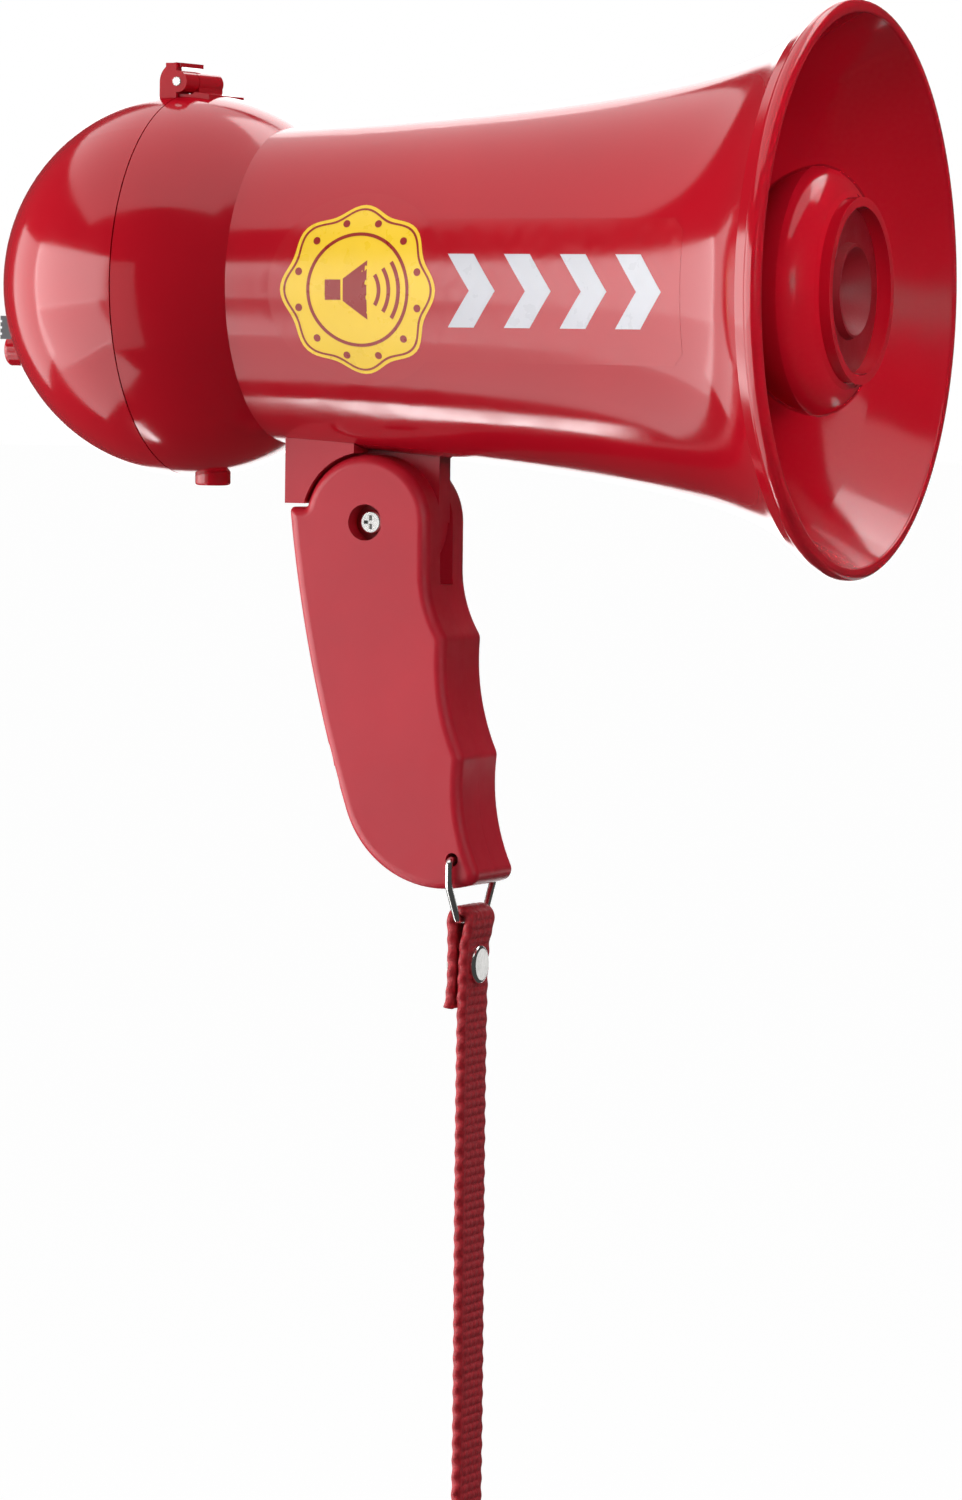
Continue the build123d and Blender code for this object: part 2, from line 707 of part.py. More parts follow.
def battery_cells():
    """Three AAA cells side by side, the middle one turned over."""
    cells = []
    x = cell_axis_x()
    for index in (-1, 0, 1):
        up = -1 if index == 0 else 1
        y = index * cell_pitch
        low = -up * cell_length / 2
        can = rod((x, y, low), (x, y, -low - up * 1.0), cell_radius)
        cells.append(can + rod((x, y, 0), (x, y, -low), 1.9))
    return Compound(children=cells)


def battery_springs():
    """Coil contact at each cell's flat end."""
    x = cell_axis_x()
    room = 3.2 - 0.7 - 0.1
    coils = []
    for index in (-1, 0, 1):
        up = -1 if index == 0 else 1
        start = -up * (cell_length / 2 + 0.35)
        coils.append(spring((x, index * cell_pitch, start), (0, 0, -up), 2.8, 0.3, room - 0.6, 2))
    return Compound(children=coils)


def battery_plates():
    """Flat contact at each cell's button end."""
    x = cell_axis_x()
    plates = []
    for index in (-1, 0, 1):
        up = -1 if index == 0 else 1
        z0 = up * (cell_length / 2 + 0.05)
        z1 = up * (cell_length / 2 + 3.2 - 0.7)
        y = index * cell_pitch
        plates.append(block(x - 3.5, x + 3.5, y - 3.5, y + 3.5, z0, z1 - up * 2.0)
                      + block(x - 3.5, x - 3.0, y - 3.5, y + 3.5, z0, z1))
    return Compound(children=plates)


def tray_screws():
    screws = []
    back = tray_x - tray_thick
    for y, z in tray_places(tray_post_radius - 1.2):
        head = rod((back - 1.3, y, z), (back, y, z), 1.9)
        screws.append(head + rod((back, y, z), (seam_x + 5, y, z), 0.9))
    return Compound(children=screws)


# ---------------------------------------------------------------- handle
def grip_point(x, z):
    """Place on the grip's outline, measured from the pivot."""
    return (pivot_x + x, pivot_z + z)


def rounded_corners(face, radii):
    """Round a face's corners; radii pairs a place near the corner with its radius."""
    for place, radius in radii:
        target = Vector(place[0], 0, place[1])
        vertex = min(face.vertices(), key=lambda v: (Vector(*tuple(v)) - target).length)
        face = fillet(vertex, radius)
    return face


def grip_outline():
    """Side view of the grip: round ear, three finger grooves, toe, heel and rear shoulder."""
    front_ear = grip_point(ear_radius, 0)
    throat = grip_point(ear_radius, -10.0)
    first_ridge = grip_point(19.4, -25.0)
    second_ridge = grip_point(23.8, -50.9)
    toe = grip_point(28.6, -78.0)
    heel = grip_point(-4.4, -63.6)
    back = grip_point(-12.6, -34.5)
    shoulder = grip_point(-18.9, shoulder_rise)
    ear_back = grip_point(-sqrt(ear_radius**2 - shoulder_rise**2), shoulder_rise)
    back_arc = arc_xz(shoulder, back, heel)
    first_groove = Edge.make_tangent_arc(Vector(throat[0], 0, throat[1]), Vector(0, 0, -1),
                                         Vector(first_ridge[0], 0, first_ridge[1]))
    sole = Edge.make_tangent_arc(back_arc @ 1, back_arc % 1, Vector(toe[0], 0, toe[1]))
    edges = [
        arc_xz(ear_back, grip_point(0, ear_radius), front_ear),
        line_xz(front_ear, throat),
        first_groove,
        arc_xz(first_ridge, grip_point(19.9, -38.5), second_ridge),
        arc_xz(second_ridge, grip_point(24.2, -65.5), toe),
        sole,
        back_arc,
        line_xz(shoulder, ear_back),
    ]
    face = make_face(Wire(edges))
    return rounded_corners(face, [(first_ridge, 3.0), (second_ridge, 3.0), (toe, 2.6),
                                  (shoulder, 0.9), (ear_back, 0.8)])


def grip_solid():
    """The whole grip, with both side faces' rims rounded, before it is slotted and split."""
    solid = across(grip_outline(), -grip_half, grip_half)
    for side in (-grip_half, grip_half):
        rim = min(solid.faces(), key=lambda face: abs(face.center().Y - side))
        solid = fillet(rim.edges(), grip_edge)
    return solid


slot_half = web_thick / 2 + slot_clearance
slot_floor = -13.6          # below the pivot, open to the front


def grip_slot():
    round_part = rod((pivot_x, -slot_half, pivot_z), (pivot_x, slot_half, pivot_z), web_radius + 0.6)
    front = block(pivot_x, pivot_x + 40, -slot_half, slot_half, pivot_z + slot_floor, pivot_z + 40)
    top = block(pivot_x - 40, pivot_x + 1, -slot_half, slot_half, pivot_z + 1.3, pivot_z + 40)
    return fused(round_part, front, top)


def grip_hollow():
    """Room inside the two shells, below the slot."""
    corners = [grip_point(*p) for p in (
        (-13.2, -18.0), (13.6, -18.0), (16.8, -26.0), (17.4, -40.0), (21.0, -52.0), (21.4, -66.0),
        (16.0, -67.0), (2.0, -67.0), (-2.6, -58.0), (-9.6, -34.0))]
    edges = [line_xz(a, b) for a, b in zip(corners, corners[1:] + corners[:1])]
    return across(make_face(Wire(edges)), -grip_half + grip_wall, grip_half - grip_wall)


grip_screw_places = [grip_point(-3.0, -24.0), grip_point(10.0, -60.0)]


def grip_bosses():
    half = grip_half - 1
    return fused(*[rod((x, -half, z), (x, half, z), 3.4) for x, z in grip_screw_places])


def grip_shell(left):
    """One half of the grip; left is the -Y half, with the pivot screw's pocket."""
    shell = grip_solid() - grip_slot() - (grip_hollow() - grip_bosses())
    edge = -shell_gap / 2 if left else shell_gap / 2
    side = block(-200, 0, edge, -20 if left else 20, -200, 0)
    shell &= side
    head_floor = -grip_half + screw_head_sink + screw_head_thick
    shell -= rod((pivot_x, -5.0, pivot_z), (pivot_x, 5.0, pivot_z), sleeve_radius)
    shell -= rod((pivot_x, -20, pivot_z), (pivot_x, 20, pivot_z), screw_radius)
    if left:
        shell -= rod((pivot_x, -20, pivot_z), (pivot_x, head_floor, pivot_z), screw_pocket_radius)
    else:
        shell -= nut_prism(grip_half - 4.6, 20, 0.05)
    shell -= rod((ring_hole_x, -20, ring_hole_z), (ring_hole_x, 20, ring_hole_z), ring_hole_radius)
    for x, z in grip_screw_places:
        if not left:
            shell -= rod((x, 6.6, z), (x, 20, z), 3.0)
        shell -= rod((x, -6.0, z), (x, 8.0, z), 1.0)
    return shell


def nut_prism(y0, y1, play=0.0):
    radius = nut_flats / 2 / cos(pi / 6) + play
    plane = Plane(origin=(pivot_x, y0, pivot_z), z_dir=(0, 1, 0))
    return extrude(plane * RegularPolygon(radius, 6), amount=y1 - y0)


def cross_recess(x, y, z, size, depth):
    """Cross-head slot in a screw head that faces -Y."""
    return (block(x - size, x + size, y - 1, y + depth, z - size / 4, z + size / 4)
            + block(x - size / 4, x + size / 4, y - 1, y + depth, z - size, z + size))


def pivot_screw():
    top = -grip_half + screw_head_sink
    head = rod((pivot_x, top, pivot_z), (pivot_x, top + screw_head_thick, pivot_z), screw_head_radius)
    head = fillet(head.edges().sort_by(Axis.Y)[0], 0.6)
    shank = rod((pivot_x, top + 1, pivot_z), (pivot_x, grip_half - 2.0, pivot_z), screw_radius)
    return head + shank - cross_recess(pivot_x, top, pivot_z, 1.55, 1.1)


def pivot_sleeve():
    tube = rod((pivot_x, -4.95, pivot_z), (pivot_x, 4.95, pivot_z), sleeve_radius)
    return tube - rod((pivot_x, -6, pivot_z), (pivot_x, 6, pivot_z), screw_radius)


def pivot_nut():
    start = grip_half - 4.6
    return nut_prism(start, start + nut_thick) - rod((pivot_x, 0, pivot_z), (pivot_x, 20, pivot_z), screw_radius)


def grip_screws():
    screws = []
    for x, z in grip_screw_places:
        head = rod((x, 6.6, z), (x, 8.2, z), 2.2)
        head -= cross_recess_far(x, 8.2, z, 1.3, 0.9)
        screws.append(head + rod((x, -5.5, z), (x, 6.6, z), 1.0))
    return Compound(children=screws)


def cross_recess_far(x, y, z, size, depth):
    """Cross-head slot in a screw head that faces +Y."""
    return (block(x - size, x + size, y - depth, y + 1, z - size / 4, z + size / 4)
            + block(x - size / 4, x + size / 4, y - depth, y + 1, z - size, z + size))


block_rear = pivot_x - 19.6
web_front = pivot_x + 14.3


def handle_bracket():
    """Block and web under the horn that carry the pivot."""
    bottom = pivot_z + block_drop
    rear = block(block_rear, pivot_x - 1, -grip_half + 0.4, grip_half - 0.4, bottom, -20)
    rear -= rod((pivot_x, -20, pivot_z), (pivot_x, 20, pivot_z), ear_radius + bracket_gap)
    rear -= block(pivot_x - 3, pivot_x + 5, -20, 20, bottom - 1, 0)
    upper = block(block_rear, web_front, -web_thick / 2, web_thick / 2, bottom, -20)
    front = block(pivot_x, web_front, -web_thick / 2, web_thick / 2, pivot_z, -20)
    lobe = rod((pivot_x, -web_thick / 2, pivot_z), (pivot_x, web_thick / 2, pivot_z), web_radius)
    whole = fused(rear, upper, front, lobe)
    whole -= horn_solid()
    whole -= rod((pivot_x, -20, pivot_z), (pivot_x, 20, pivot_z), sleeve_radius + running_clearance)
    for x in bracket_screw_places:
        whole -= rod((x, 0, -horn_radius(x) - 8), (x, 0, -20), 1.0)
    return whole


bracket_screw_places = [block_rear + 3.6, web_front - 3.6]


def bracket_screws():
    screws = []
    for x in bracket_screw_places:
        top = -horn_radius(x) + horn_wall + 0.25
        screws.append(rod((x, 0, top), (x, 0, top + 1.5), 2.0) + rod((x, 0, top - 8), (x, 0, top), 1.0))
    return Compound(children=screws)


# ---------------------------------------------------------------- ring and strap
def strap_ring():
    """Wire ring through the grip's toe: straight bars joined by legs that close in."""
    reach = grip_half + 1.4
    leg = ring_hole_z - 5.8
    half = strap_width / 2 + 0.9
    points = [(0.15, ring_hole_z), (reach, ring_hole_z), (reach, leg), (half, bar_z), (-half, bar_z),
              (-reach, leg), (-reach, ring_hole_z), (-0.15, ring_hole_z)]
    path = FilletPolyline(*[(ring_hole_x, y, z) for y, z in points], radius=1.5)
    section = Plane(origin=path @ 0, z_dir=path % 0) * Circle(ring_wire)
    return sweep(section, path=path)


strap_x = bar_x + 0.5                   # middle of the hanging band
tail_x = strap_x - strap_thick - 0.05   # middle of the folded tail, behind it
strap_fold = ring_wire + strap_thick / 2 + 0.12
upper_rivet_z = bar_z - 10.1
lower_rivet_z = upper_rivet_z - 129.0
loop_top_z = lower_rivet_z - 15.0


def band(points, radii):
    """Flat strap whose middle follows a rounded polyline in the XZ plane."""
    path = FilletPolyline(*[(x, 0, z) for x, z in points], radius=radii)
    print("strap bends, radius mm:", [round(r, 1) for r in radii])
    print("strap length, mm:", round(path.length, 1))
    section = Plane(origin=path @ 0, z_dir=path % 0, x_dir=(0, 1, 0)) * Rectangle(strap_width, strap_thick)
    return sweep(section, path=path)


def strap_route():
    """Places along the strap's middle: tail, fold over the ring, fall, wrist loop and its tail."""
    return [
        (tail_x - 0.8, upper_rivet_z - 9.5), (tail_x, upper_rivet_z - 5.5),
        (tail_x, bar_z - 4.6), (bar_x - strap_fold, bar_z - 2.0), (bar_x - strap_fold, bar_z + strap_fold),
        (bar_x + strap_fold, bar_z + strap_fold), (bar_x + strap_fold, bar_z - 2.0), (strap_x, bar_z - 5.9),
        (strap_x, upper_rivet_z - 56.0), (strap_x + 0.35, upper_rivet_z - 100.0),
        (strap_x, loop_top_z - 12.0),
        (strap_x + 16.0, loop_top_z - 38.0), (strap_x + 30.0, loop_top_z - 66.0),
        (strap_x + 25.0, loop_top_z - 94.0), (strap_x - 1.5, loop_top_z - 108.0),
        (strap_x - 29.0, loop_top_z - 94.0), (strap_x - 34.0, loop_top_z - 64.0),
        (strap_x - 20.0, loop_top_z - 32.0),
        (tail_x - 0.1, loop_top_z + 1.0), (tail_x - 0.1, lower_rivet_z + 8.0)]


def corner_radius(before, corner, after):
    """0.45 of the shorter run, divided by the tangent of half the turn."""
    run_in = Vector(corner[0] - before[0], 0, corner[1] - before[1])
    run_out = Vector(after[0] - corner[0], 0, after[1] - corner[1])
    turn = radians(run_in.get_angle(run_out))
    return 0.45 * min(run_in.length, run_out.length) * cos(turn / 2) / sin(turn / 2)


def strap_webbing():
    route = strap_route()
    radii = [corner_radius(*corner) for corner in zip(route, route[1:], route[2:])]
    over_ring = slice(3, 5)             # the two corners that go round the ring's wire
    radii[over_ring] = [strap_fold * 0.98] * 2
    return band(route, radii)


def rivet(z, x_front, x_back):
    """Round-headed rivet through the two layers, head to the front and washer behind."""
    head = rod((x_front, 0, z), (x_front + 1.0, 0, z), rivet_radius)
    head = fillet(head.edges().sort_by(Axis.X)[-1], 0.8)
    shank = rod((x_back, 0, z), (x_front, 0, z), 1.3)
    washer = rod((x_back - 0.6, 0, z), (x_back, 0, z), rivet_radius * 0.8)
    return fused(head, shank, washer)


def strap_rivet(z, front_gap):
    return rivet(z, strap_x + strap_thick / 2 + front_gap, tail_x - strap_thick / 2 - 0.55)


# ---------------------------------------------------------------- write every piece
def pieces():
    """Name and shape of every piece; the strap is drilled where its rivets pass."""
    webbing = strap_webbing()
    for z in (upper_rivet_z, lower_rivet_z):
        webbing -= rod((strap_x - 8, 0, z), (strap_x + 8, 0, z), 1.35)
    return {
        "horn_bell": horn_bell() - fused(*[rod((x, 0, -60), (x, 0, -20), 1.05) for x in bracket_screw_places]),
        "front_housing": front_housing(),
        "sound_tube": sound_tube(),
        "tube_screws": tube_screws(),
        "tube_collar": sleeve_join(),
        "reflector_cup": reflector_cup(),
        "reflector_disc": reflector_disc(),
        "hinge_pin": hinge_pin(),
        "latch_button": latch_button(),
        "latch_spring": latch_spring(),
        "rear_dome": rear_dome(),
        "circuit_board": circuit_board(),
        "board_screws": board_screws(),
        "board_parts": board_parts(),
        "tact_switch": tact_switch(),
        "siren_button": siren_button(),
        "button_spring": button_spring(),
        "slide_switch_body": slide_switch_body(),
        "switch_lever": switch_lever(),
        "microphone_capsule": microphone_capsule(),
        "microphone_boot": microphone_boot(),
        "speaker_gasket": speaker_gasket(),
        "speaker_frame": speaker_frame(),
        "speaker_magnet": speaker_magnet(),
        "speaker_cone": speaker_cone(),
        "speaker_dust_cap": dust_cap(),
        "speaker_screws": speaker_screws(),
        "battery_tray": battery_tray(),
        "battery_cells": battery_cells(),
        "battery_springs": battery_springs(),
        "battery_plates": battery_plates(),
        "tray_screws": tray_screws(),
        "handle_bracket": handle_bracket(),
        "bracket_screws": bracket_screws(),
        "grip_left_shell": grip_shell(True),
        "grip_right_shell": grip_shell(False),
        "grip_screws": grip_screws(),
        "pivot_screw": pivot_screw(),
        "pivot_sleeve": pivot_sleeve(),
        "pivot_nut": pivot_nut(),
        "strap_ring": strap_ring(),
        "strap_webbing": webbing,
        "strap_rivet_upper": strap_rivet(upper_rivet_z, 0.25),
        "strap_rivet_lower": strap_rivet(lower_rivet_z, 0.6),
    }


os.makedirs("parts", exist_ok=True)
for name, shape in pieces().items():
    export_step(to_part * shape, f"parts/{name}.step")
print("part origin in the drawing frame:", [round(value, 3) for value in grip_middle])
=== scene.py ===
"""Handheld megaphone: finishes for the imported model, its label, its webbing strap, and the studio."""
import bpy
import bmesh
import json
from math import cos, exp, floor, pi, radians, sin, sqrt
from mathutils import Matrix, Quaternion, Vector


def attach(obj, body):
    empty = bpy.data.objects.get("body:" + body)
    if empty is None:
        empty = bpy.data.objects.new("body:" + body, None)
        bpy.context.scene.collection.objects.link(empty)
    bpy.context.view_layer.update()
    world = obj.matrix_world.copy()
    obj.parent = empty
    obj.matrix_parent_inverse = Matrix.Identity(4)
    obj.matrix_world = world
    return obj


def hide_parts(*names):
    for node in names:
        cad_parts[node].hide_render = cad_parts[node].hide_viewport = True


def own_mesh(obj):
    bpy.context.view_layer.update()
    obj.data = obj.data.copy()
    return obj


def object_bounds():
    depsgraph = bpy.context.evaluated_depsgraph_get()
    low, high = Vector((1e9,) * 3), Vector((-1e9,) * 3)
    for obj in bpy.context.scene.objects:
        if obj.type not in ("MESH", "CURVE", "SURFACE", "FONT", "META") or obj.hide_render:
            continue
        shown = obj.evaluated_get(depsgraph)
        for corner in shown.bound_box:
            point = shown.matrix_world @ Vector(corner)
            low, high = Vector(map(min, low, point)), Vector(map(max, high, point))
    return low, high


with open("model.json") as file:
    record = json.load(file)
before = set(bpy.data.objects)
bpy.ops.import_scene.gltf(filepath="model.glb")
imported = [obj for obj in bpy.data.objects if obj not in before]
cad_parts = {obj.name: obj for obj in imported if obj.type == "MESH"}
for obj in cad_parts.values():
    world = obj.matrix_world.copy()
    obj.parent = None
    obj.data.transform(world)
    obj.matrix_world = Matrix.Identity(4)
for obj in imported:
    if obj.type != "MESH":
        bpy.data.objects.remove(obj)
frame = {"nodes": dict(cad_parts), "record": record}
cad_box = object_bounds()
scene = bpy.context.scene
MM = 0.001
MOUTH_CENTRE = Vector((0.106, 0.0, 0.091858))   # the horn's axis runs along X through it

# ---------------------------------------------------------------- camera
LENS = 254.67
CAMERA_PLACE = Vector((0.61058, -1.37539, 0.07753))
CAMERA_TARGET = Vector((0.01843, 0.0, -0.00982))
CAMERA_ROLL = 0.747


def add_camera():
    data = bpy.data.cameras.new("camera")
    data.sensor_fit = "HORIZONTAL"
    data.sensor_width = 36.0
    data.lens = LENS
    data.clip_end = 200.0
    camera = bpy.data.objects.new("camera", data)
    scene.collection.objects.link(camera)
    aim = (CAMERA_TARGET - CAMERA_PLACE).to_track_quat("-Z", "Y")
    camera.rotation_mode = "QUATERNION"
    camera.rotation_quaternion = aim @ Quaternion((0, 0, 1), radians(CAMERA_ROLL))
    camera.location = CAMERA_PLACE
    scene.camera = camera


add_camera()


# ---------------------------------------------------------------- material helpers
def colour(red, green, blue):
    """A display colour, 0 to 255, as the linear colour the shader takes."""
    parts = [value / 255 for value in (red, green, blue)]
    return [((p + 0.055) / 1.055) ** 2.4 if p > 0.04 else p / 12.92 for p in parts] + [1.0]


class Finish:
    """One Principled material, with noise textures in object space; wavelengths in mm."""

    def __init__(self, name, base, roughness, metallic=0.0, **sockets):
        self.material = bpy.data.materials.new(name)
        self.material.use_nodes = True
        self.tree = self.material.node_tree
        self.shader = self.tree.nodes["Principled BSDF"]
        self.base = base
        self.shader.inputs["Base Color"].default_value = base
        self.shader.inputs["Roughness"].default_value = roughness
        self.shader.inputs["Metallic"].default_value = metallic
        for socket, value in sockets.items():
            self.shader.inputs[socket.replace("_", " ")].default_value = value
        self.coordinates = self.tree.nodes.new("ShaderNodeTexCoord").outputs["Object"]
        self.normal = None

    def stretch(self, x, y, z):
        mapping = self.tree.nodes.new("ShaderNodeMapping")
        mapping.inputs["Scale"].default_value = (x, y, z)
        self.tree.links.new(self.coordinates, mapping.inputs["Vector"])
        return mapping.outputs["Vector"]

    def noise(self, wavelength, detail=2.0, vector=None):
        node = self.tree.nodes.new("ShaderNodeTexNoise")
        node.inputs["Scale"].default_value = 1 / (wavelength * MM)
        node.inputs["Detail"].default_value = detail
        self.tree.links.new(vector or self.coordinates, node.inputs["Vector"])
        return node.outputs["Fac"]

    def spread(self, factor, low, high):
        """factor's middle range, 0.3 to 0.7, stretched to low..high."""
        node = self.tree.nodes.new("ShaderNodeMapRange")
        node.inputs["From Min"].default_value = 0.3
        node.inputs["From Max"].default_value = 0.7
        node.inputs["To Min"].default_value = low
        node.inputs["To Max"].default_value = high
        self.tree.links.new(factor, node.inputs["Value"])
        return node.outputs["Result"]

    def vary_roughness(self, factor, low, high):
        self.tree.links.new(self.spread(factor, low, high), self.shader.inputs["Roughness"])
        return self

    def vary_colour(self, factor, dark, light):
        """Base colour times dark to times light, following factor."""
        mix = self.tree.nodes.new("ShaderNodeMix")
        mix.data_type = "RGBA"
        mix.inputs["A"].default_value = [c * dark for c in self.base[:3]] + [1.0]
        mix.inputs["B"].default_value = [min(c * light, 1.0) for c in self.base[:3]] + [1.0]
        self.tree.links.new(self.spread(factor, 0.0, 1.0), mix.inputs["Factor"])
        self.tree.links.new(mix.outputs["Result"], self.shader.inputs["Base Color"])
        return self

    def bump(self, height, depth):
        """Raises the surface by depth mm where height is 1."""
        node = self.tree.nodes.new("ShaderNodeBump")
        node.inputs["Distance"].default_value = depth * MM
        node.inputs["Strength"].default_value = 1.0
        self.tree.links.new(height, node.inputs["Height"])
        if self.normal:
            self.tree.links.new(self.normal, node.inputs["Normal"])
        self.normal = node.outputs["Normal"]
        self.tree.links.new(self.normal, self.shader.inputs["Normal"])
        return self


# ---------------------------------------------------------------- finishes
HORN_RED = [0.42, 0.004, 0.013, 1.0]
GRIP_RED = [0.48, 0.011, 0.026, 1.0]
WEB_RED = [0.40, 0.013, 0.022, 1.0]


def glossy_plastic(name, base):
    """Polished moulded plastic: faint ripples from the mould and a slightly uneven polish."""
    finish = Finish(name, base, 0.12)
    finish.vary_colour(finish.noise(35.0), 0.95, 1.05)
    finish.vary_roughness(finish.noise(9.0, 4.0), 0.09, 0.15)
    finish.bump(finish.noise(22.0, 1.0), 0.02)
    return finish.bump(finish.noise(1.2, 2.0), 0.0006).material


def grained_plastic(name, base, roughness, grain, depth):
    """Moulded plastic with an eroded texture of this grain and depth, in mm."""
    finish = Finish(name, base, roughness)
    finish.vary_colour(finish.noise(24.0, 3.0), 0.94, 1.06)
    finish.vary_roughness(finish.noise(5.0, 4.0), roughness - 0.05, roughness + 0.07)
    finish.bump(finish.noise(18.0, 1.0), 0.015)
    return finish.bump(finish.noise(grain, 3.0), depth).material


def metal(name, base, roughness, brush=(1.0, 1.0, 1.0), depth=0.003):
    """Plated metal, with fine marks drawn out along the smaller brush factor."""
    finish = Finish(name, base, roughness, metallic=1.0)
    marks = finish.noise(0.25, 4.0, finish.stretch(*brush))
    finish.vary_roughness(marks, roughness * 0.7, roughness * 1.5)
    finish.vary_colour(finish.noise(3.0, 3.0), 0.9, 1.05)
    return finish.bump(marks, depth).material


def soft_matte(name, base, roughness, grain, depth):
    """Rubber, foam, paper and ferrite: dull, with an open grain."""
    finish = Finish(name, base, roughness)
    finish.vary_colour(finish.noise(4.0, 4.0), 0.8, 1.25)
    finish.vary_roughness(finish.noise(2.0, 3.0), roughness - 0.08, roughness + 0.08)
    return finish.bump(finish.noise(grain, 5.0), depth).material


def board_finish():
    """Circuit board: green resist over tracks that show as lighter bands."""
    finish = Finish("board", [0.02, 0.16, 0.07, 1.0], 0.3, Coat_Weight=0.3)
    finish.vary_colour(finish.noise(1.6, 0.0, finish.stretch(1.0, 1.0, 0.25)), 0.7, 1.5)
    finish.vary_roughness(finish.noise(2.0, 2.0), 0.22, 0.38)
    return finish.bump(finish.noise(1.6, 0.0, finish.stretch(1.0, 1.0, 0.25)), 0.03).material


def cell_finish():
    """Battery sleeve: dark glossy wrap."""
    finish = Finish("cell_wrap", colour(30, 30, 34), 0.25, Coat_Weight=0.5)
    finish.vary_colour(finish.noise(6.0, 2.0), 0.8, 1.2)
    finish.vary_roughness(finish.noise(2.0, 3.0), 0.2, 0.32)
    return finish.bump(finish.noise(5.0, 1.0), 0.02).material


def web_finish():
    """Polypropylene webbing: warp yarns side by side across Y, fuzz and yarn sheen."""
    finish = Finish("webbing", WEB_RED, 0.6, Sheen_Weight=0.08, Sheen_Roughness=0.4)
    finish.vary_colour(finish.noise(0.9, 5.0), 0.72, 1.3)
    finish.vary_roughness(finish.noise(0.5, 3.0), 0.45, 0.7)
    yarns = finish.noise(0.32, 2.0, finish.stretch(0.25, 1.0, 0.25))
    finish.bump(yarns, 0.12)
    return finish.bump(finish.noise(0.12, 3.0), 0.02).material


def make_finishes():
    steel = [0.82, 0.81, 0.79, 1.0]
    return {
        "horn_plastic": glossy_plastic("horn_plastic", HORN_RED),
        "grip_plastic": grained_plastic("grip_plastic", GRIP_RED, 0.36, 0.35, 0.006),
        "textured_plastic": grained_plastic("textured_plastic", colour(120, 14, 24), 0.5, 0.45, 0.05),
        "grey_plastic": grained_plastic("grey_plastic", colour(84, 86, 90), 0.5, 0.4, 0.01),
        "black_plastic": grained_plastic("black_plastic", colour(26, 26, 28), 0.45, 0.4, 0.01),
        "board": board_finish(),
        "cell_wrap": cell_finish(),
        "bright_steel": metal("bright_steel", steel, 0.16, (1.0, 1.0, 0.3)),
        "steel_sheet": metal("steel_sheet", [0.55, 0.55, 0.56, 1.0], 0.28, (1.0, 0.3, 1.0)),
        "magnet": soft_matte("magnet", colour(50, 50, 54), 0.6, 0.5, 0.03),
        "paper": soft_matte("paper", colour(38, 36, 34), 0.85, 0.6, 0.05),
        "foam": soft_matte("foam", colour(34, 34, 34), 0.9, 0.7, 0.12),
        "boot_rubber": soft_matte("boot_rubber", colour(28, 28, 28), 0.65, 0.4, 0.02),
        "webbing": web_finish(),
    }


finishes = make_finishes()


def dress_cad_nodes():
    slots = {part["node"]: part["material_slot"] for part in frame["record"]["subparts"]}
    for name, node in frame["nodes"].items():
        for place in node.material_slots:
            place.material = finishes[slots[name]]


dress_cad_nodes()


# ---------------------------------------------------------------- mesh helpers
def add_mesh(name, points, faces, material, body):
    mesh = bpy.data.meshes.new(name)
    mesh.from_pydata(points, [], faces)
    mesh.materials.append(material)
    for polygon in mesh.polygons:
        polygon.use_smooth = True
    mesh.update()
    piece = bpy.data.objects.new(name, mesh)
    scene.collection.objects.link(piece)
    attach(piece, body)
    return piece


def grid_faces(rows, columns, wrap=False):
    """Quads over rows of points; wrap closes each row on itself."""
    faces = []
    for i in range(rows - 1):
        for j in range(columns if wrap else columns - 1):
            k = (j + 1) % columns
            faces.append((i * columns + j, i * columns + k, (i + 1) * columns + k, (i + 1) * columns + j))
    return faces


# ---------------------------------------------------------------- strap
BAR = Vector((0.0165, 0.0, -0.0471))            # middle of the ring's lower bar
STRAP_X = 0.017                                 # hanging band's middle
TAIL_X = 0.01465                                # folded tail's middle, behind the band
FOLD = 0.00207                                  # from the bar's middle to the strap's
UPPER_RIVET = -0.0572
LOWER_RIVET = -0.1862
LOOP_TOP = -0.2012
STRAP_WIDTH = 0.013
STRAP_THICK = 0.0023
RIB_PITCH = 1.9 * MM
RIB_HEIGHT = 0.34 * MM
SCALLOP_PITCH = 3.8 * MM
SCALLOP_DEPTH = 0.22 * MM
YARN_PITCH = 1.1 * MM
YARN_HEIGHT = 0.07 * MM
RING_STEP = 0.24 * MM
FACE_COLUMNS = 15
EDGE_COLUMNS = 6

STRAP_ROUTE = [
    (TAIL_X - 0.0008, UPPER_RIVET - 0.0095), (TAIL_X, UPPER_RIVET - 0.0055),
    (TAIL_X, BAR.z - 0.0046), (BAR.x - FOLD, BAR.z - 0.002), (BAR.x - FOLD, BAR.z + FOLD),
    (BAR.x + FOLD, BAR.z + FOLD), (BAR.x + FOLD, BAR.z - 0.002), (STRAP_X, BAR.z - 0.0059),
    (STRAP_X, UPPER_RIVET - 0.056), (STRAP_X + 0.00035, UPPER_RIVET - 0.1),
    (STRAP_X, LOOP_TOP - 0.012),
    (STRAP_X + 0.016, LOOP_TOP - 0.038), (STRAP_X + 0.03, LOOP_TOP - 0.066),
    (STRAP_X + 0.025, LOOP_TOP - 0.094), (STRAP_X - 0.0015, LOOP_TOP - 0.108),
    (STRAP_X - 0.029, LOOP_TOP - 0.094), (STRAP_X - 0.034, LOOP_TOP - 0.064),
    (STRAP_X - 0.02, LOOP_TOP - 0.032),
    (TAIL_X - 0.0001, LOOP_TOP + 0.001), (TAIL_X - 0.0001, LOWER_RIVET + 0.008)]


